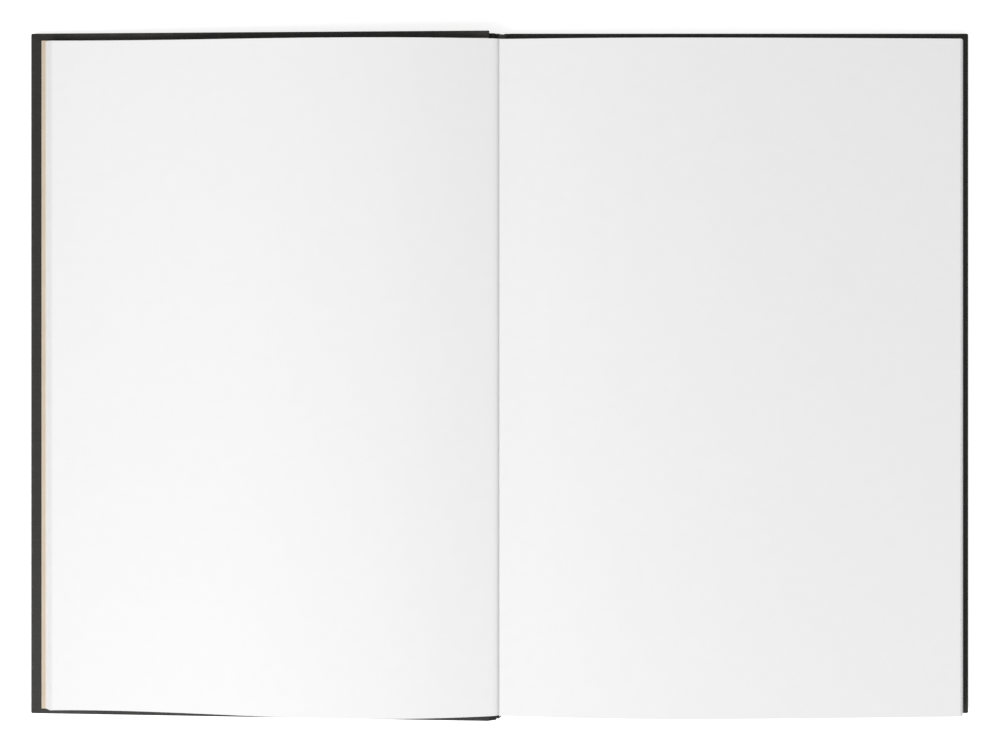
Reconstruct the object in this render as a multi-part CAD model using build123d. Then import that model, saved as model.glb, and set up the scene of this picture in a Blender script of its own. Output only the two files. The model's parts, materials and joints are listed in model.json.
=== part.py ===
from build123d import *
import os
from math import asin, atan2, cos, degrees, hypot, radians, sin, tan

# Hardcover notebook, lying open near its front, in millimetres.
# X runs across the open pages, Y up the pages to their head, Z up from the table.
# The origin is on the table, at the middle of the open notebook.

# Leaves
leaf_width = 143.5       # from the back of the block to the fore edge
leaf_height = 210.0
right_stack = 7.9        # leaves lying to the right, measured at their fore edge
left_stack = 1.2         # leaves lying to the left
right_swell = 2.6        # how far the right page rises between its fore edge and the gutter
left_swell = 3.4
right_crest = 60.0       # from the gutter to the top of each swell
left_crest = 29.0
shoulder_run = 12.5      # from the gutter to the shoulder where a page starts to dive
right_shoulder = 0.35    # the shoulder, above the fore edge's level
left_shoulder = 1.1
settle_run = 100.0       # from the gutter to where a page straightens towards its fore edge
right_settle = 1.7       # that place, above the fore edge's level
left_settle = 1.2
bend_room = 2.4          # beside the gutter, where the left leaves bend as the front cover closes
right_fan = 3.2          # how far the top leaf's edge draws back from the bottom leaf's
left_fan = 2.8
left_draw = 1.1          # left leaves drawn back by their bend over the front cover's edge
gutter_depth = 1.6       # the fold between the pages, below the right fore edge
gutter_wall = 0.8        # left leaves pressed together where they leave the back of the block

# Case: boards in cloth
board_thickness = 2.0
cloth = 0.35
turn_in = 15.0           # cloth folded over the inside of a board
mitre_gap = 0.3          # seam where two turn-ins meet at a corner
edge_round = 0.4         # cloth drawn over the edges of a board
corner_round = 0.5       # cloth drawn round a board's corner
head_square = 2.3        # cover standing past the leaves at the head, the tail and the fore edge
tail_square = 1.7
fore_square = 1.6
joint_width = 1.5        # cloth hinge between the spine's edge and a board
fold_room = 0.5          # cloth left open beside a fold so that it can close

# Endpapers
endpaper = 0.15
paste_margin = 3.5       # cloth left bare between a pastedown and the fore edge
paste_dip = 0.6          # width of the ridge where a pastedown drops off a turn-in
lay_gap = 0.1            # air between a flyleaf and the pastedown under it

# Spine
spine_lean = 66.0        # degrees from the table
spine_slack = 0.3        # block thickness less the cloth from joint to joint
strip_thickness = 1.0
strip_setback = 0.7      # card kept clear of the joints
lining = 0.3
spine_turn_in = 12.0
spine_recess = 0.3       # spine ends standing in from the ends of the boards

# Sizes that follow
lean = radians(spine_lean)
board_height = leaf_height + head_square + tail_square - 2 * cloth
spine_width = right_stack + left_stack - spine_slack
cover_thickness = board_thickness + 2 * cloth
block_offset = cloth / 2 + strip_thickness + cloth + lining
spine_along = Vector(-cos(lean), 0, sin(lean))
spine_inward = Vector(sin(lean), 0, cos(lean))
face_level = cover_thickness - cloth / 2
fly_level = face_level + endpaper + lay_gap
leaf_level = fly_level + endpaper
block_shift = (tail_square - head_square) / 2

# The back of the block, in the back cover's frame, sets how wide the covers are.
back_foot_x = (block_offset - leaf_level * cos(lean)) / sin(lean)
cover_reach = back_foot_x + leaf_width + fore_square
board_width = cover_reach - joint_width - cloth

# The front cover leans on the table along its fore edge.
front_joint_height = cloth / 2 + spine_width * sin(lean)
front_tilt = asin(front_joint_height / hypot(cover_reach, cloth / 2)) - atan2(cloth / 2, cover_reach)
front_run = (
    (cover_reach - edge_round) * cos(front_tilt)
    + (face_level - edge_round) * sin(front_tilt)
    + edge_round
)
back_joint_x = (spine_width * cos(lean) + front_run - cover_reach) / 2
back_joint = Vector(back_joint_x, 0, cloth / 2)
front_joint = back_joint + spine_along * spine_width

back_place = Pos(back_joint.X, 0, back_joint.Z)
front_place = Pos(front_joint.X, 0, front_joint.Z) * Rot(0, -degrees(front_tilt), 0)


def slab(x0, x1, y0, y1, z0, z1):
    """A box between two corners."""
    return Pos((x0 + x1) / 2, (y0 + y1) / 2, (z0 + z1) / 2) * Box(x1 - x0, y1 - y0, z1 - z0)


# One cover lies flat here, its joint at the origin, its fore edge at +X and its inside up.
half_cover = board_height / 2 + cloth
board_start = joint_width
board_end = board_start + board_width
board_low = cloth / 2
board_high = board_low + board_thickness


def make_board():
    return slab(board_start, board_end, -board_height / 2, board_height / 2, board_low, board_high)


def make_cover_cloth():
    """Cloth round three edges of a board, turned in and mitred, and run out to the joint."""
    skin = slab(board_start, cover_reach, -half_cover, half_cover, -cloth / 2, face_level)
    upright = skin.edges().filter_by(Axis.Z).sort_by(Axis.X)[-2:]
    skin = fillet(upright, corner_round)
    rims = skin.faces().sort_by(Axis.Z)
    round_edges = rims[0].edges() + rims[-1].edges()
    spine_edge_x = board_start + edge_round
    skin = fillet(round_edges.filter_by(lambda e: e.center().X > spine_edge_x), edge_round)
    skin -= make_board()
    window_end = cover_reach - turn_in
    window_side = half_cover - turn_in
    skin -= slab(board_start, window_end, -window_side, window_side, board_high, face_level)
    for side in (-1, 1):
        seam = Box(2 * turn_in, mitre_gap, cloth)
        corner = Pos(window_end + turn_in / 2, side * (window_side + turn_in / 2), face_level)
        skin -= corner * Rot(0, 0, 45 * side) * seam
    tongue_start = cloth / 2 + fold_room
    tongue_side = half_cover - spine_recess
    return skin + slab(tongue_start, board_start, -tongue_side, tongue_side, -cloth / 2, cloth / 2)


def make_pastedown():
    """Endpaper pasted over a board, dropping off the turn-ins on to the board inside them."""
    head = leaf_height / 2 + block_shift
    tail = -leaf_height / 2 + block_shift
    fore = cover_reach - paste_margin
    window_end = cover_reach - turn_in
    window_side = half_cover - turn_in
    over = slab(board_start, fore, tail, head, face_level, face_level + endpaper)
    inside = slab(board_start, window_end, -window_side, window_side, board_high, face_level)
    dip_end = window_end - paste_dip
    dip_side = window_side - paste_dip
    dip = slab(board_start, dip_end, -dip_side, dip_side, board_high + endpaper, face_level + endpaper)
    return over + inside - dip


def make_spine_piece(low, high, start, end, half_length):
    """A strip along the spine, between two depths behind its cloth."""
    strip = slab(start, end, -half_length, half_length, low, high)
    return Plane(origin=back_joint, x_dir=spine_along, z_dir=spine_inward) * strip


strip_low = cloth / 2
strip_high = strip_low + strip_thickness
half_spine = half_cover - spine_recess
half_strip = half_spine - cloth
strip_end = spine_width - strip_setback


def make_spine_cloth():
    """Cloth from joint to joint, rounded on each fold, and turned in over the strip's ends."""
    sheet = make_spine_piece(-cloth / 2, cloth / 2, 0, spine_width, half_spine)
    for joint in (back_joint, front_joint):
        sheet += Pos(joint.X, 0, joint.Z) * Rot(90, 0, 0) * Cylinder(cloth / 2, 2 * half_spine)
    wrapped = make_spine_piece(strip_low, strip_high + cloth, strip_setback, strip_end, half_spine)
    wrapped -= make_spine_piece(strip_low, strip_high, strip_setback, strip_end, half_strip)
    flap_side = half_spine - spine_turn_in
    wrapped -= make_spine_piece(strip_high, strip_high + cloth, strip_setback, strip_end, flap_side)
    return sheet + wrapped


# The back of the block meets the front cover's plane at its head.
leftward = Vector(-cos(front_tilt), 0, -sin(front_tilt))
upward = Vector(-sin(front_tilt), 0, cos(front_tilt))
block_foot = back_joint + Vector(back_foot_x, 0, leaf_level)
on_cover = front_joint + upward * leaf_level
rise_to_head = (on_cover - block_foot).dot(upward) / spine_along.dot(upward)
block_head = block_foot + spine_along * rise_to_head
left_reach = leaf_width - left_draw
fly_setback = endpaper / tan(lean)
back_fly = block_foot + Vector(fly_setback, 0, 0)
front_fly = block_head + leftward * bend_room


def extrude_leaves(outline):
    """Leaves of one height, from their outline seen from the tail."""
    leaves = extrude(Face(outline), leaf_height / 2, dir=(0, 1, 0), both=True)
    return Pos(0, block_shift, 0) * leaves


def make_text_block():
    """Leaves on the back cover: a swelling page, a sheared fore edge and a back glued to the spine."""
    right_low = block_foot + Vector(leaf_width, 0, 0)
    right_high = right_low + Vector(-right_fan, 0, right_stack)
    fold_height = right_stack - gutter_depth
    glued = block_foot + spine_along * (fold_height / sin(lean))
    fold = glued + Vector(gutter_wall / sin(lean), 0, 0)
    right_shape = [(settle_run, right_settle), (right_crest, right_swell), (shoulder_run, right_shoulder)]
    right_points = [Vector(fold.X + run, 0, right_high.Z + rise) for run, rise in right_shape]
    return extrude_leaves(Wire([
        Line(block_foot, right_low),
        Line(right_low, right_high),
        Spline(right_high, *right_points, fold),
        Line(fold, glued),
        Line(glued, block_foot),
    ]))


def make_left_leaves():
    """Leaves on the front cover, which turn over the head of the back and lie along the tilted cover."""
    bend = block_head + leftward * bend_room
    crease = bend + upward * gutter_wall
    left_low = block_head + leftward * left_reach
    left_high = left_low - leftward * left_fan + upward * left_stack
    left_shape = [(shoulder_run, left_shoulder), (left_crest, left_swell), (settle_run, left_settle)]
    left_points = [block_head + leftward * run + upward * (left_stack + rise) for run, rise in left_shape]
    return extrude_leaves(Wire([
        Line(bend, crease),
        Spline(crease, *left_points, left_high),
        Line(left_high, left_low),
        Line(left_low, bend),
    ]))


def make_flyleaf(start, length, across, up):
    """The free half of an endpaper, lying between the leaves and a cover."""
    tip = start + across * length
    return extrude_leaves(Wire(Polyline(start, tip, tip - up * endpaper, start - up * endpaper, close=True)))


def make_lining():
    """Gauze glued to the back of the leaves."""
    foot_run = (block_foot - back_joint).dot(spine_along)
    face = make_spine_piece(block_offset - lining, block_offset, foot_run, spine_width, leaf_height / 2)
    return Pos(0, block_shift, 0) * face


os.makedirs("parts", exist_ok=True)
pieces = {
    "text_block": make_text_block(),
    "left_leaves": make_left_leaves(),
    "front_flyleaf": make_flyleaf(front_fly, left_reach - bend_room, leftward, upward),
    "back_flyleaf": make_flyleaf(back_fly, leaf_width - fly_setback, Vector(1, 0, 0), Vector(0, 0, 1)),
    "spine_lining": make_lining(),
    "spine_strip": make_spine_piece(strip_low, strip_high, strip_setback, strip_end, half_strip),
    "spine_cloth": make_spine_cloth(),
    "back_board": back_place * make_board(),
    "back_cloth": back_place * make_cover_cloth(),
    "back_pastedown": back_place * make_pastedown(),
    "front_board": front_place * mirror(make_board(), about=Plane.YZ),
    "front_cloth": front_place * mirror(make_cover_cloth(), about=Plane.YZ),
    "front_pastedown": front_place * mirror(make_pastedown(), about=Plane.YZ),
}
for name, piece in pieces.items():
    export_step(piece, f"parts/{name}.step")
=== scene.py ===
import bmesh
import bpy
import json
import math
import random
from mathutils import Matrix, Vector


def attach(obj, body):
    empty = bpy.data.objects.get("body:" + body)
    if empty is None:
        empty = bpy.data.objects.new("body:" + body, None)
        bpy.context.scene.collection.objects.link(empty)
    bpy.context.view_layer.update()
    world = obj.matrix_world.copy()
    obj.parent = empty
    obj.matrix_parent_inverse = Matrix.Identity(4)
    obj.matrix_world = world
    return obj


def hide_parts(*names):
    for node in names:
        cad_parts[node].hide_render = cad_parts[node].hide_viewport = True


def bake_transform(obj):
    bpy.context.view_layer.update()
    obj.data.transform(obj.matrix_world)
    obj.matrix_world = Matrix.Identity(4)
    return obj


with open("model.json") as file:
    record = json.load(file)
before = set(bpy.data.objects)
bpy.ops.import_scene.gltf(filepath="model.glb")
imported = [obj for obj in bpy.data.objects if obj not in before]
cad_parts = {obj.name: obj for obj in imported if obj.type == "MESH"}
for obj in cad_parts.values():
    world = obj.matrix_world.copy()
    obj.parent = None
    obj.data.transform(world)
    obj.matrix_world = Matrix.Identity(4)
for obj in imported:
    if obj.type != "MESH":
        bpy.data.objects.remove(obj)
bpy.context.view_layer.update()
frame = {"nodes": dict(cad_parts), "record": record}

# Hardcover notebook, lying open near its front. Sizes are in metres, in the part's own frame:
# X across the pages, Y up them to the head, Z up from the table.
mm = 0.001
near = 0.01 * mm             # closer than this, two places are one
case_crease = 35             # in degrees: edges bent further than this stay sharp
sheet_crease = 40
tuck_crease = 50
joints = {joint["name"]: Vector(joint["pos_m"]) for joint in frame["record"]["behaviour"]["joints"]}
back_joint = joints["back_joint"]
front_joint = joints["front_joint"]

# Covers
cloth = 0.35 * mm
cover_reach = 145.79 * mm    # from a joint to the fore edge
half_cover = 107.0 * mm
half_open = 147.5 * mm       # from the middle of the open notebook to a fore edge
cover_high = 2.525 * mm      # the inside of a cover, above its joint
board_start = 1.5 * mm       # from a joint to its board
joint_lap = 0.12 * mm        # cloth past the board, towards the joint
turn_in = 15.0 * mm
mitre_width = 0.16 * mm
mitre_depth = 0.2 * mm
edge_round = 0.4 * mm
corner_round = 0.5 * mm
tuck_round = 0.35 * mm

# Spine
spine_lean = math.radians(66)
spine_width = 8.8 * mm
spine_depth = 1.525 * mm
spine_setback = 0.55 * mm    # the wrapped card, clear of each joint
spine_round = 0.3 * mm
half_spine = 106.6 * mm
back_shift = 0.15 * mm       # how far the spine's back side has moved towards the head
front_shift = -0.4 * mm      # and its front side towards the tail

# Leaves
paper = 0.09 * mm
right_leaves = 76
left_leaves = 12
leaf_head = 104.4 * mm
right_tail = -105.45 * mm
left_tail = -105.1 * mm
leaf_level = 2.925 * mm      # the lowest leaf, above a cover's joint
block_offset = 1.825 * mm    # the glued back, in from the middle of the spine's cloth
gutter_rise = 6.3 * mm       # the fold between the pages, above the lowest right leaf
gutter_wall = 0.8 * mm       # left leaves pressed together where they leave the glued back
edge_curl = 0.25 * mm

# Endpapers
left_flyleaf_paper = 0.13 * mm
left_flyleaf_drop = 0.08 * mm     # the flyleaf's middle, below the lowest left leaf
right_flyleaf_paper = 0.12 * mm
right_flyleaf_drop = 0.07 * mm
fold_paper = 0.1 * mm

# Studio
floor_size = 6
floor_glow = 0.62
air_glow = 0.49
key_place = Vector((-0.6, -0.7, 1.2))
key_size = 0.6
key_power = 14.8
camera_place = Vector((0.10, 46.1, 502.7)) * mm
camera_lens = 57.2
camera_sensor = 36
camera_shift = -0.15

# Places and directions that follow
joint_to_table = math.hypot(cover_reach, cloth / 2)
front_tilt = math.asin(front_joint.z / joint_to_table) - math.atan2(cloth / 2, cover_reach)
spine_along = Vector((-math.cos(spine_lean), 0, math.sin(spine_lean)))
leftward = Vector((-math.cos(front_tilt), 0, -math.sin(front_tilt)))
upward = Vector((-math.sin(front_tilt), 0, math.cos(front_tilt)))
foot_run = (block_offset - leaf_level * math.cos(spine_lean)) / math.sin(spine_lean)
block_foot = back_joint + Vector((foot_run, 0, leaf_level))
on_front_cover = front_joint + upward * leaf_level
head_run = (on_front_cover - block_foot).dot(upward) / spine_along.dot(upward)
block_head = block_foot + spine_along * head_run
gutter_x = block_foot.x - gutter_rise / math.tan(spine_lean) + gutter_wall / math.sin(spine_lean)


# Handling

def put_down():
    """Leave edit mode with nothing selected."""
    if bpy.context.object and bpy.context.object.mode != "OBJECT":
        bpy.ops.object.mode_set(mode="OBJECT")
    bpy.ops.object.select_all(action="DESELECT")


def choose(piece):
    """Make one piece the only one selected."""
    put_down()
    piece.select_set(True)
    bpy.context.view_layer.objects.active = piece


def take_up(piece, select_mode="EDGE"):
    """Open one piece in edit mode with nothing picked."""
    choose(piece)
    bpy.ops.object.mode_set(mode="EDIT")
    bpy.ops.mesh.select_mode(type=select_mode)
    bpy.ops.mesh.select_all(action="DESELECT")


def pick_points(piece, wanted):
    mesh = bmesh.from_edit_mesh(piece.data)
    bpy.ops.mesh.select_mode(type="VERT")
    bpy.ops.mesh.select_all(action="DESELECT")
    for point in mesh.verts:
        point.select_set(wanted(point.co))
    mesh.select_flush_mode()
    bmesh.update_edit_mesh(piece.data)


def pick_edges(piece, wanted):
    mesh = bmesh.from_edit_mesh(piece.data)
    bpy.ops.mesh.select_mode(type="EDGE")
    bpy.ops.mesh.select_all(action="DESELECT")
    for edge in mesh.edges:
        edge.select_set(wanted(edge.verts[0].co, edge.verts[1].co))
    mesh.select_flush_mode()
    bmesh.update_edit_mesh(piece.data)


def pick_faces(piece, wanted):
    mesh = bmesh.from_edit_mesh(piece.data)
    bpy.ops.mesh.select_mode(type="FACE")
    bpy.ops.mesh.select_all(action="DESELECT")
    mesh.normal_update()
    for face in mesh.faces:
        face.select_set(wanted(face.calc_center_median(), face.normal))
    mesh.select_flush_mode()
    bmesh.update_edit_mesh(piece.data)


def turn_outwards(piece):
    take_up(piece)
    bpy.ops.mesh.select_all(action="SELECT")
    bpy.ops.mesh.normals_make_consistent(inside=False)
    put_down()


def apply_modifier(piece, kind, **settings):
    choose(piece)
    modifier = piece.modifiers.new(kind.title(), kind)
    for setting, value in settings.items():
        setattr(modifier, setting, value)
    bpy.ops.object.modifier_apply(modifier=modifier.name)


def set_in_place(piece):
    """Put the piece's place into its mesh."""
    choose(piece)
    bpy.ops.object.transform_apply(location=True, rotation=True, scale=True)


def smooth(piece, degrees):
    choose(piece)
    bpy.ops.object.shade_smooth_by_angle(angle=math.radians(degrees))


def add_block(name, middle, sides):
    """A box to shape further."""
    put_down()
    bpy.ops.mesh.primitive_cube_add(size=1, location=middle, scale=sides)
    block = bpy.context.object
    block.name = name
    set_in_place(block)
    return block


def finish_piece(piece, material, body, slot_name, *nodes):
    """Give a piece its material and the body it rides on, and hide the nodes it stands for; slot_name is not
    used.
    """
    piece.data.materials.clear()
    piece.data.materials.append(material)
    if body:
        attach(piece, body)
    if nodes:
        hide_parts(*nodes)


# Sheets

def draw_line(name, points):
    """A chain of edges through points, drawn on from a small plane merged to one point."""
    put_down()
    bpy.ops.mesh.primitive_plane_add(size=mm)
    line = bpy.context.object
    line.name = name
    take_up(line, "VERT")
    bpy.ops.mesh.select_all(action="SELECT")
    bpy.ops.mesh.merge(type="CENTER")
    bpy.ops.transform.translate(value=points[0])
    for before, after in zip(points, points[1:]):
        bpy.ops.mesh.extrude_vertices_move(TRANSFORM_OT_translate={"value": after - before})
    put_down()
    return line


def draw_out(tail, head):
    """Pull all the lines in edit mode out into sheets, from the tail to the head."""
    bpy.ops.mesh.select_all(action="SELECT")
    bpy.ops.transform.translate(value=(0, tail, 0))
    bpy.ops.mesh.extrude_edges_move(TRANSFORM_OT_translate={"value": (0, head - tail, 0)})


def thicken(sheet, thickness, levels):
    """Round a sheet's bends and give it its thickness."""
    apply_modifier(
        sheet, "SUBSURF", levels=levels, render_levels=levels,
        boundary_smooth="PRESERVE_CORNERS", use_limit_surface=True,
    )
    apply_modifier(sheet, "SOLIDIFY", thickness=thickness, offset=0, use_even_offset=True)
    turn_outwards(sheet)
    smooth(sheet, sheet_crease)


def lay_sheet(name, points, thickness, tail, head, levels):
    """A bent sheet, from a line drawn across it."""
    sheet = draw_line(name, points)
    take_up(sheet)
    draw_out(tail, head)
    put_down()
    thicken(sheet, thickness, levels)
    return sheet


# Leaves

# How far each of a leaf's outer columns, counted from the fore edge, follows a shift of that edge.
edge_hold = ((-1, 1.0), (-2, 1.0), (-3, 0.9), (-4, 0.3))


def on_column(point, low, top):
    """The number of the column, from the lowest leaf to the top page, that a point lies on."""
    gaps = []
    for foot, head in zip(low, top):
        way = head - foot
        along = max(0.0, min(1.0, (point - foot).dot(way) / way.length_squared))
        gaps.append((foot + way * along - point).length)
    return gaps.index(min(gaps))


def stack_leaves(name, low, top, leaves, shifts, tail):
    """Sheets of paper between the line of the lowest leaf and the line of the top page."""
    block = draw_line(name, low)
    page_line = draw_line(name + "_page_line", top)
    block.select_set(True)
    page_line.select_set(True)
    bpy.context.view_layer.objects.active = block
    bpy.ops.object.join()
    take_up(block)
    bpy.ops.mesh.select_all(action="SELECT")
    bpy.ops.mesh.bridge_edge_loops(number_cuts=leaves - 2, interpolation="LINEAR")
    pick_edges(block, lambda a, b: on_column(a, low, top) == on_column(b, low, top))
    bpy.ops.mesh.delete(type="EDGE")

    # Each leaf is drawn in or out a little at its fore edge, and less so further in.
    for number, shift in enumerate(shifts):
        share = number / (leaves - 1)
        for column, hold in edge_hold:
            leaf_point = low[column].lerp(top[column], share)
            pick_points(block, lambda co: (co - leaf_point).length < near)
            bpy.ops.transform.translate(value=shift * hold)

    draw_out(tail, leaf_head)
    bpy.ops.mesh.select_all(action="SELECT")
    bpy.ops.mesh.normals_make_consistent(inside=False)
    put_down()
    thicken(block, paper, 2)
    return block


def make_right_leaves():
    half = Vector((0, 0, paper / 2))
    runs = (0, 3, 8, 16, 29, 48, 68, 93, 118, 133.5, 143.15)
    low = [block_foot + half + Vector((run, 0, 0)) * mm for run in runs]
    # The top page: runs from the gutter, and heights above the table.
    page = (
        (-0.68, 10.08), (3, 10.34), (8, 10.86), (16, 11.77), (29.5, 12.98), (47.5, 13.66),
        (67.5, 13.64), (91.5, 13.02), (115.5, 12.07), (131, 11.45), (142.23, 11.0),
    )
    top = [Vector((gutter_x + run * mm, 0, height * mm)) - half for run, height in page]

    # The fore edge bulges forward below the last few leaves, and the leaves have slid in groups.
    bulge = 0.4
    bulge_top = 0.88         # the share of the leaves that lie below its peak
    group_size = 6
    group_slide = (-0.22, 0.16)
    leaf_slide = (-0.10, 0.08)
    drift = random.Random(11)
    shifts = []
    for number in range(right_leaves):
        share = number / (right_leaves - 1)
        forward = bulge * min(share, (1 - share) / (1 - bulge_top) * bulge_top)
        if number % group_size == 0:
            slid = drift.uniform(*group_slide)
        shifts.append(Vector(((forward + slid + drift.uniform(*leaf_slide)) * mm, 0, 0)))
    return stack_leaves("right_leaf_stack", low, top, right_leaves, shifts, right_tail)


def make_left_leaves():
    # They leave the back of the block together, turn over its head and spread along the front cover.
    half = upward * paper / 2
    low_rise = ((-0.50, 9.80), (-0.85, 10.30), (-1.33, 10.68), (-2.20, 10.95))
    low = [Vector((across, 0, height)) * mm for across, height in low_rise]
    runs = (3.2, 8, 16, 28, 42, 56, 72, 92, 112, 128, 140.7, 141.5, 141.9)
    low += [block_head + half + leftward * run * mm for run in runs]
    low[-1] += upward * edge_curl
    top_rise = ((-0.22, 10.14), (-0.50, 10.74), (-1.08, 11.17), (-2.30, 11.50))
    top = [Vector((across, 0, height)) * mm for across, height in top_rise]
    # The top page: runs along the front cover, and heights above the lowest leaf.
    page = (
        (3.2, 0.84), (8, 1.80), (16, 3.20), (28, 4.80), (42, 5.52), (56, 5.57),
        (72, 4.90), (92, 2.95), (112, 1.55), (128, 1.05), (138.4, 1.2), (139.2, 1.2), (139.6, 1.2),
    )
    top += [block_head + leftward * run * mm + upward * height * mm - half for run, height in page]
    top[-1] += upward * edge_curl

    # At the fore edge they lie in three parted groups, each further in than the one under it.
    # For each group: the share of the leaves where it ends, how far it is drawn in, and its lift.
    groups = ((0.45, 0.8, 0.3), (0.8, 1.6, 0.6), (math.inf, 2.3, 0.95))
    even_fan = 2.3           # what the lines above already draw in, from the lowest leaf to the top page
    even_rise = 1.2          # and how far they rise
    leaf_pitch = 0.1
    leaf_slide = (-0.08, 0.08)
    drift = random.Random(5)
    shifts = []
    for number in range(left_leaves):
        share = number / (left_leaves - 1)
        group_draw, group_lift = next((draw, lift) for end, draw, lift in groups if share < end)
        drawn = group_draw - even_fan * share
        lift = group_lift + leaf_pitch * number - even_rise * share
        shifts.append((leftward * (drift.uniform(*leaf_slide) - drawn) + upward * lift) * mm)
    return stack_leaves("left_leaf_stack", low, top, left_leaves, shifts, left_tail)


# Endpapers

def make_left_flyleaf():
    """The free half of the front endpaper, which turns up out of the fold under the left leaves."""
    rise = ((-0.62, 9.72), (-0.96, 10.22), (-1.42, 10.60), (-2.25, 10.86))
    points = [Vector((across, 0, height)) * mm for across, height in rise]
    runs = (3.2, 8, 16, 28, 56, 92, 128, 140.5, 141.4, 141.8)
    points += [block_head + leftward * run * mm - upward * left_flyleaf_drop for run in runs]
    return lay_sheet("left_flyleaf", points, left_flyleaf_paper, left_tail, leaf_head, 2)


def make_right_flyleaf():
    """The free half of the back endpaper, under the right leaves."""
    runs = (0.12, 3, 16, 48, 93, 133.5, 141, 142.6, 143.1)
    points = [block_foot + Vector((run * mm, 0, -right_flyleaf_drop)) for run in runs]
    return lay_sheet("right_flyleaf", points, right_flyleaf_paper, right_tail, leaf_head, 2)


def make_back_fold():
    """The fold of the back endpaper, tucked into the joint until the leaves lift off the cover."""
    tuck = (
        (3.75, 2.88), (3.27, 2.84), (3.13, 2.35), (3.05, 1.75),
        (2.93, 2.00), (2.80, 2.50), (2.64, 2.92), (2.55, 3.02),
    )
    points = [Vector((across, 0, height)) * mm for across, height in tuck]
    return lay_sheet("back_endpaper_fold", points, fold_paper, right_tail, leaf_head, 1)


# Case

def make_cover(name):
    """Cloth drawn round a board, flat, with its joint at the origin and its inside up."""
    start = board_start - joint_lap
    middle = ((start + cover_reach) / 2, 0, (cover_high - cloth / 2) / 2)
    sides = (cover_reach - start, 2 * half_cover, cover_high + cloth / 2)
    cover = add_block(name, middle, sides)
    take_up(cover)
    pick_edges(cover, lambda a, b: abs(a.z - b.z) > mm and a.x > cover_reach - near)
    bpy.ops.mesh.bevel(offset=corner_round, segments=5, affect="EDGES")
    pick_edges(cover, lambda a, b: abs(a.z - b.z) < near and max(a.x, b.x) > board_start + near)
    bpy.ops.mesh.bevel(offset=edge_round, segments=4, affect="EDGES")

    # The turn-ins end in a window on the inside, and meet in a mitre at each corner.
    window_end = cover_reach - turn_in
    window_side = half_cover - turn_in
    facing_up = 0.99
    pick_faces(cover, lambda co, normal: normal.z > facing_up)
    bpy.ops.mesh.bisect(plane_co=(window_end, 0, 0), plane_no=(1, 0, 0))
    for side in (-1, 1):
        pick_faces(cover, lambda co, normal: normal.z > facing_up)
        bpy.ops.mesh.bisect(plane_co=(0, side * window_side, 0), plane_no=(0, 1, 0))
    for side in (-1, 1):

        def in_corner(co, normal):
            return normal.z > facing_up and co.x > window_end and co.y * side > window_side

        def on_mitre(co):
            return abs((co.x - window_end) - (co.y * side - window_side)) < near and co.x > window_end - near

        pick_faces(cover, in_corner)
        bpy.ops.mesh.bisect(plane_co=(window_end, side * window_side, 0), plane_no=(1, -side, 0))
        pick_edges(cover, lambda a, b: on_mitre(a) and on_mitre(b) and min(a.z, b.z) > cover_high - near)
        bpy.ops.mesh.bevel(offset=mitre_width, segments=2, affect="EDGES")
        pick_points(cover, lambda co: on_mitre(co) and co.z > cover_high - near)
        bpy.ops.transform.translate(value=(0, 0, -mitre_depth))

    def in_window(co, normal):
        return normal.z > facing_up and co.x < window_end and abs(co.y) < window_side

    pick_faces(cover, in_window)
    bpy.ops.mesh.delete(type="FACE")
    put_down()
    apply_modifier(cover, "SOLIDIFY", thickness=cloth, offset=-1, use_even_offset=True)
    turn_outwards(cover)
    return cover


def make_back_cover():
    cover = make_cover("back_case")
    cover.location = back_joint
    set_in_place(cover)
    smooth(cover, case_crease)
    return cover


def make_front_cover():
    cover = make_cover("front_case")
    cover.rotation_euler = (0, 0, math.pi)
    set_in_place(cover)
    cover.rotation_euler = (0, -front_tilt, 0)
    cover.location = front_joint
    set_in_place(cover)
    smooth(cover, case_crease)
    return cover


def make_spine():
    """Cloth over the spine's card, between the two joints."""
    middle = (spine_width / 2, back_shift, (cloth / 2 - spine_depth) / 2)
    sides = (spine_width - 2 * spine_setback, 2 * half_spine, spine_depth + cloth / 2)
    spine = add_block("spine_case", middle, sides)
    take_up(spine)
    # The front cover has drawn its side of the spine a little towards the tail.
    pick_points(spine, lambda co: co.x > spine_width / 2)
    bpy.ops.transform.translate(value=(0, front_shift - back_shift, 0))
    pick_edges(spine, lambda a, b: abs(a.y - b.y) < mm and min(a.z, b.z) < mm)
    bpy.ops.mesh.bevel(offset=spine_round, segments=4, affect="EDGES")
    put_down()
    spine.rotation_euler = (0, math.pi + spine_lean, 0)
    spine.location = back_joint
    set_in_place(spine)
    turn_outwards(spine)
    smooth(spine, case_crease)
    return spine


def make_joint_cloth(name, joint, across, along, shift):
    """The cloth that bends between a cover and the spine."""
    points = [joint + across * board_start]
    points += [joint + across * step * mm for step in (1.1, 0.7, 0.3)]
    points += [joint.copy()]
    points += [joint + along * step * mm for step in (0.3, 0.5, 0.7)]
    return lay_sheet(name, points, cloth, shift - half_spine, shift + half_spine, 1)


def make_tuck(name, low, high, dip_start, dip):
    """Cloth folded in at the end of a joint, where it bunches up to the inside of the cover."""
    tuck = add_block(name, (low + high) / 2, high - low)
    middle = (low.z + high.z) / 2
    take_up(tuck)
    pick_points(tuck, lambda co: co.x > dip_start and co.z > middle)
    bpy.ops.transform.translate(value=(0, 0, -dip))
    bpy.ops.mesh.select_all(action="SELECT")
    bpy.ops.mesh.bevel(offset=tuck_round, segments=3, affect="EDGES")
    turn_outwards(tuck)
    smooth(tuck, tuck_crease)
    return tuck


def make_tail_tuck():
    low = Vector((-3.42, -106.95, 8.2)) * mm
    high = Vector((-0.95, -105.2, 10.7)) * mm
    return make_tuck("front_tail_tuck", low, high, -2 * mm, 1.1 * mm)


def make_head_tuck():
    low = Vector((1.35, 104.95, 0.3)) * mm
    high = Vector((3.3, 106.98, 2.5)) * mm
    return make_tuck("back_head_tuck", low, high, 3 * mm, 0.1 * mm)


# Finishes

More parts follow.
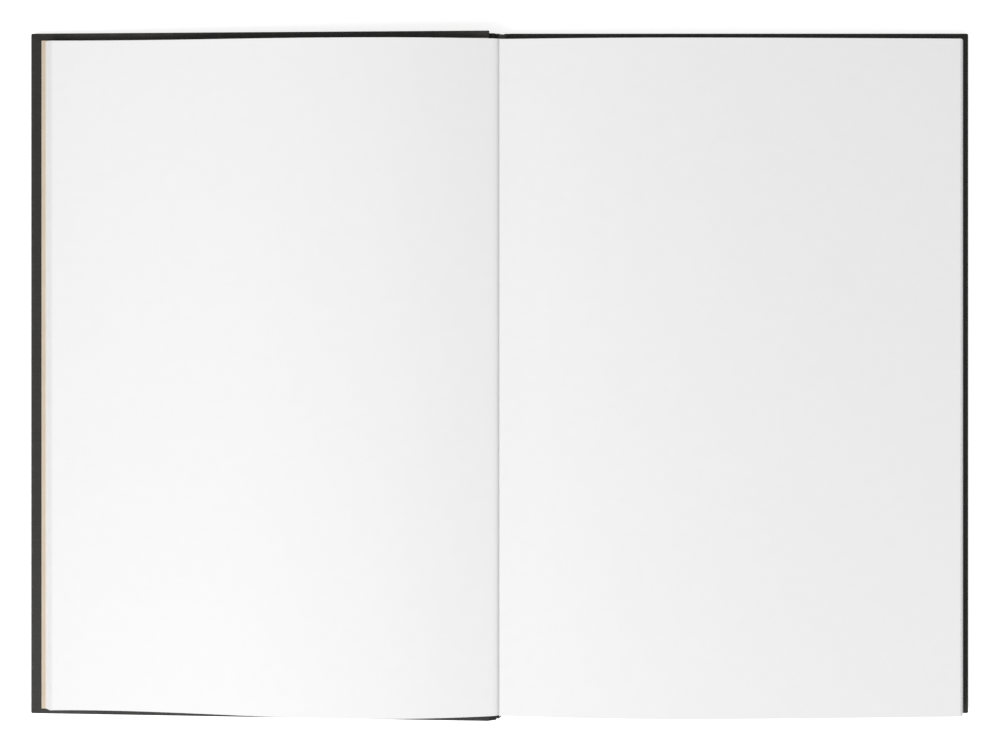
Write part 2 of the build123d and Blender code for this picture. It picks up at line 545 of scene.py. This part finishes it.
class Finish:
    """A material's nodes, added one by one and joined by name."""

    def __init__(self, name):
        self.material = bpy.data.materials.new(name)
        self.material.use_nodes = True
        self.tree = self.material.node_tree
        self.shader = self.tree.nodes["Principled BSDF"]
        self.place = self.tree.nodes.new("ShaderNodeTexCoord").outputs["Object"]

    def add(self, kind, out, settings=(), **inputs):
        node = self.tree.nodes.new(kind)
        for setting, value in dict(settings).items():
            setattr(node, setting, value)
        for socket, value in inputs.items():
            self.join(node.inputs[socket], value)
        return node.outputs[out]

    def join(self, socket, value):
        if isinstance(value, bpy.types.NodeSocket):
            self.tree.links.new(value, socket)
        else:
            socket.default_value = value

    def noise(self, scale, detail=3.0, roughness=0.55, place=None):
        return self.add(
            "ShaderNodeTexNoise", "Fac",
            Vector=place or self.place, Scale=scale, Detail=detail, Roughness=roughness,
        )

    def threads(self, direction, pitch):
        """Ridges of thread, a pitch apart."""
        return self.add(
            "ShaderNodeTexWave", "Fac", {"bands_direction": direction},
            Vector=self.place, Scale=math.pi / (10 * pitch), Distortion=0.6, Detail=1.0,
        )

    def stretch(self, scale):
        return self.add("ShaderNodeMapping", "Vector", Vector=self.place, Scale=scale)

    def step(self, value, low, high, floor=0.0, ceiling=1.0):
        node = self.tree.nodes.new("ShaderNodeMapRange")
        self.join(node.inputs["Value"], value)
        for socket, number in zip(("From Min", "From Max", "To Min", "To Max"), (low, high, floor, ceiling)):
            node.inputs[socket].default_value = number
        return node.outputs["Result"]

    def math(self, operation, first, second=0.0):
        node = self.tree.nodes.new("ShaderNodeMath")
        node.operation = operation
        self.join(node.inputs[0], first)
        self.join(node.inputs[1], second)
        return node.outputs["Value"]

    def tint(self, share, dark, light):
        node = self.tree.nodes.new("ShaderNodeMix")
        node.data_type = "RGBA"
        self.join(node.inputs["Factor"], share)
        colours = [socket for socket in node.inputs if socket.type == "RGBA"]
        self.join(colours[0], dark)
        self.join(colours[1], light)
        return next(socket for socket in node.outputs if socket.type == "RGBA")

    def relief(self, height, strength, distance, under=None):
        node = self.tree.nodes.new("ShaderNodeBump")
        node.inputs["Strength"].default_value = strength
        node.inputs["Distance"].default_value = distance
        self.join(node.inputs["Height"], height)
        if under is not None:
            self.join(node.inputs["Normal"], under)
        return node.outputs["Normal"]

    def done(self, colour, rough, normal, specular):
        self.join(self.shader.inputs["Base Color"], colour)
        self.join(self.shader.inputs["Roughness"], rough)
        self.join(self.shader.inputs["Normal"], normal)
        self.shader.inputs["Specular IOR Level"].default_value = specular
        return self.material


def writing_paper():
    """Smooth white leaves: faint fibres, a cloudy formation and a slight cockle."""
    finish = Finish("writing_paper")
    cloud = finish.noise(260, 4)
    fibres = finish.noise(1.0, 3, place=finish.stretch((900, 2600, 900)))
    share = finish.math("MULTIPLY", finish.step(cloud, 0.3, 0.7), finish.step(fibres, 0.25, 0.75, 0.6, 1.0))
    colour = finish.tint(share, (0.878, 0.876, 0.882, 1), (0.892, 0.890, 0.896, 1))
    cockle = finish.relief(finish.noise(17, 1), 1.0, 0.35 * mm)
    normal = finish.relief(fibres, 0.12, 0.02 * mm, cockle)
    rough = finish.step(fibres, 0.3, 0.7, 0.78, 0.9)
    return finish.done(colour, rough, normal, specular=0.25)


def endpaper(name, dark, light):
    """Stouter paper with long fibres."""
    finish = Finish(name)
    cloud = finish.noise(90, 4)
    fibres = finish.noise(1.0, 4, place=finish.stretch((500, 1900, 500)))
    share = finish.math("MULTIPLY", finish.step(cloud, 0.3, 0.7), finish.step(fibres, 0.2, 0.8, 0.5, 1.0))
    colour = finish.tint(share, dark, light)
    normal = finish.relief(fibres, 0.25, 0.03 * mm)
    rough = finish.step(fibres, 0.3, 0.7, 0.75, 0.92)
    return finish.done(colour, rough, normal, specular=0.25)


def book_cloth():
    """Black filled cloth: a fine plain weave, slubs in the thread, and rubbed edges."""
    finish = Finish("black_book_cloth")
    thread_pitch = 0.5 * mm
    warp = finish.threads("X", thread_pitch)
    weft = finish.threads("Y", thread_pitch)
    slub_across = finish.math("MULTIPLY", finish.noise(1.0, 3, place=finish.stretch((150, 1900, 900))), 0.8)
    slub_along = finish.math("MULTIPLY", finish.noise(1.0, 3, place=finish.stretch((1900, 150, 900))), 0.5)
    slub = finish.math("ADD", slub_across, slub_along)
    weave = finish.math("ADD", finish.math("MULTIPLY", warp, weft), slub)
    mottle = finish.noise(45, 5, 0.6)

    # Rubbing at the head and tail of the boards and at their fore edges, stronger towards the edge.
    end_rub = (half_cover - 1.2 * mm, half_cover + 0.2 * mm)
    fore_rub = (half_open - 1.1 * mm, half_open + 0.2 * mm)
    parts = finish.tree.nodes.new("ShaderNodeSeparateXYZ")
    finish.join(parts.inputs[0], finish.place)
    ends = finish.step(finish.math("ABSOLUTE", parts.outputs["Y"]), *end_rub)
    fores = finish.step(finish.math("ABSOLUTE", parts.outputs["X"]), *fore_rub)
    rim = finish.math("MAXIMUM", ends, fores)
    corner = finish.math("MULTIPLY", ends, fores)
    patchy = finish.step(finish.noise(420, 4, 0.7), 0.42, 0.68)
    rubbed = finish.math("MULTIPLY", finish.math("ADD", rim, corner), patchy)

    thread_dark = (0.0085, 0.0081, 0.0077, 1)
    thread_light = (0.0250, 0.0237, 0.0222, 1)
    ground = finish.tint(finish.step(weave, 0.5, 1.35), thread_dark, thread_light)
    toned = finish.tint(finish.step(mottle, 0.3, 0.75, 0.0, 0.35), ground, (0.030, 0.0285, 0.0265, 1))
    colour = finish.tint(finish.math("MULTIPLY", rubbed, 0.55), toned, (0.085, 0.080, 0.074, 1))
    rough = finish.step(mottle, 0.3, 0.75, 0.54, 0.68)
    normal = finish.relief(weave, 0.45, 0.06 * mm)
    return finish.done(colour, rough, normal, specular=0.33)


def greyboard():
    """Pressed grey pulp with darker flecks."""
    finish = Finish("greyboard")
    pulp = finish.noise(380, 5, 0.65)
    flecks = finish.step(finish.noise(1500, 2), 0.62, 0.72)
    ground = finish.tint(finish.step(pulp, 0.3, 0.7), (0.26, 0.235, 0.20, 1), (0.37, 0.34, 0.30, 1))
    colour = finish.tint(flecks, ground, (0.14, 0.125, 0.11, 1))
    normal = finish.relief(pulp, 0.4, 0.08 * mm)
    rough = finish.step(pulp, 0.3, 0.7, 0.8, 0.95)
    return finish.done(colour, rough, normal, specular=0.2)


def lining_gauze():
    """Open starched gauze under a skin of glue."""
    finish = Finish("lining_gauze")
    thread_pitch = 0.8 * mm
    warp = finish.threads("Z", thread_pitch)
    weft = finish.threads("Y", thread_pitch)
    net = finish.math("MAXIMUM", warp, weft)
    glue = finish.noise(300, 4)
    ground = finish.tint(finish.step(glue, 0.3, 0.7), (0.47, 0.42, 0.34, 1), (0.56, 0.51, 0.43, 1))
    colour = finish.tint(finish.step(net, 0.55, 0.95), ground, (0.70, 0.67, 0.60, 1))
    normal = finish.relief(net, 0.5, 0.08 * mm)
    rough = finish.step(glue, 0.3, 0.7, 0.55, 0.8)
    return finish.done(colour, rough, normal, specular=0.3)


def studio_floor():
    """White paper floor that reads white to the eye and keeps a shadow."""
    finish = Finish("white_floor")
    rays = finish.tree.nodes.new("ShaderNodeLightPath").outputs
    seen = finish.math("MAXIMUM", rays["Is Camera Ray"], rays["Is Glossy Ray"])
    seen = finish.math("MAXIMUM", seen, rays["Is Transmission Ray"])
    fibres = finish.noise(220, 3)
    colour = finish.tint(fibres, (0.90, 0.90, 0.90, 1), (0.92, 0.92, 0.92, 1))
    finish.join(finish.shader.inputs["Emission Strength"], finish.math("MULTIPLY", seen, floor_glow))
    finish.shader.inputs["Emission Color"].default_value = (1, 1, 1, 1)
    finish.join(finish.shader.inputs["Base Color"], colour)
    finish.shader.inputs["Roughness"].default_value = 0.9
    finish.shader.inputs["Specular IOR Level"].default_value = 0.1
    return finish.material


# The notebook

paper_finish = writing_paper()
# The cream endpaper is the endpaper paper's own cream darkened with painted shade, matching the shaded strip
# at the left fore edge; the pale endpaper on the front flyleaf is the same paper without it.
cream_shaded_finish = endpaper("cream_endpaper_painted_shade", (0.600, 0.517, 0.408, 1), (0.674, 0.593, 0.478, 1))
pale_finish = endpaper("pale_endpaper", (0.840, 0.735, 0.665, 1), (0.885, 0.785, 0.715, 1))
cloth_finish = book_cloth()
board_finish = greyboard()
gauze_finish = lining_gauze()

# The left leaves and their flyleaf run from the block, over its head, and along the front cover.
left_block = make_left_leaves()
finish_piece(left_block, paper_finish, None, "leaves", "left_leaves")
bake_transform(left_block)
left_flyleaf = make_left_flyleaf()
finish_piece(left_flyleaf, pale_finish, None, "endpaper", "front_flyleaf")
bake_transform(left_flyleaf)
back_fold = make_back_fold()
finish_piece(back_fold, cream_shaded_finish, None, "endpaper")
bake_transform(back_fold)
finish_piece(make_right_flyleaf(), cream_shaded_finish, "block", "endpaper", "back_flyleaf")
finish_piece(make_right_leaves(), paper_finish, "block", "leaves", "text_block")
finish_piece(make_back_cover(), cloth_finish, "back_cover", "cover_cloth", "back_cloth")
finish_piece(make_front_cover(), cloth_finish, "front_cover", "cover_cloth", "front_cloth")
finish_piece(make_spine(), cloth_finish, "block", "cover_cloth", "spine_cloth")

# Each ribbon runs from its cover round to the spine, laid out from its joint.
rightward = Vector((1, 0, 0))
back_ribbon = make_joint_cloth("back_joint_cloth", back_joint, rightward, spine_along, back_shift)
finish_piece(back_ribbon, cloth_finish, None, "cover_cloth")
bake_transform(back_ribbon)
front_ribbon = make_joint_cloth("front_joint_cloth", front_joint, leftward, -spine_along, front_shift / 2)
finish_piece(front_ribbon, cloth_finish, None, "cover_cloth")
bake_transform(front_ribbon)

tail_tuck = make_tail_tuck()
finish_piece(tail_tuck, cloth_finish, None, "cover_cloth")
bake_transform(tail_tuck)
head_tuck = make_head_tuck()
finish_piece(head_tuck, cloth_finish, None, "cover_cloth")
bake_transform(head_tuck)

# Solids that are seen as they are.
node_finishes = {
    "front_pastedown": cream_shaded_finish, "back_pastedown": cream_shaded_finish,
    "front_board": board_finish, "back_board": board_finish, "spine_strip": board_finish,
    "spine_lining": gauze_finish,
}
for node, finish in node_finishes.items():
    solid = frame["nodes"][node]
    solid.data.materials.clear()
    solid.data.materials.append(finish)


# Studio

def add_floor():
    put_down()
    bpy.ops.mesh.primitive_plane_add(size=floor_size, location=(0, 0, 0))
    floor = bpy.context.object
    floor.name = "studio_floor"
    floor.data.materials.append(studio_floor())


def add_key():
    """A softbox at the left of the tail, aimed at the middle of the notebook."""
    put_down()
    bpy.ops.object.light_add(type="AREA", location=key_place)
    lamp = bpy.context.object
    lamp.name = "key_softbox"
    lamp.data.shape = "SQUARE"
    lamp.data.size = key_size
    lamp.data.energy = key_power
    lamp.rotation_euler = (-key_place).to_track_quat("-Z", "Y").to_euler()


def add_air():
    """Even white light from all round, which the eye sees as pure white."""
    world = bpy.data.worlds.new("studio_air")
    world.use_nodes = True
    bpy.context.scene.world = world
    tree = world.node_tree
    sky = tree.nodes["Background"]
    sky.inputs["Color"].default_value = (1, 1, 1, 1)
    rays = tree.nodes.new("ShaderNodeLightPath")
    brighter = tree.nodes.new("ShaderNodeMath")
    brighter.operation = "MAXIMUM"
    tree.links.new(rays.outputs["Is Camera Ray"], brighter.inputs[0])
    brighter.inputs[1].default_value = air_glow
    tree.links.new(brighter.outputs[0], sky.inputs["Strength"])


def add_camera():
    """A copy stand's camera, looking straight down."""
    put_down()
    bpy.ops.object.camera_add(location=camera_place, rotation=(0, 0, 0))
    camera = bpy.context.object
    camera.name = "copy_stand_camera"
    camera.data.sensor_width = camera_sensor
    camera.data.lens = camera_lens
    camera.data.shift_y = camera_shift
    bpy.context.scene.camera = camera


add_floor()
add_key()
add_air()
add_camera()
bpy.context.scene.view_settings.view_transform = "Standard"
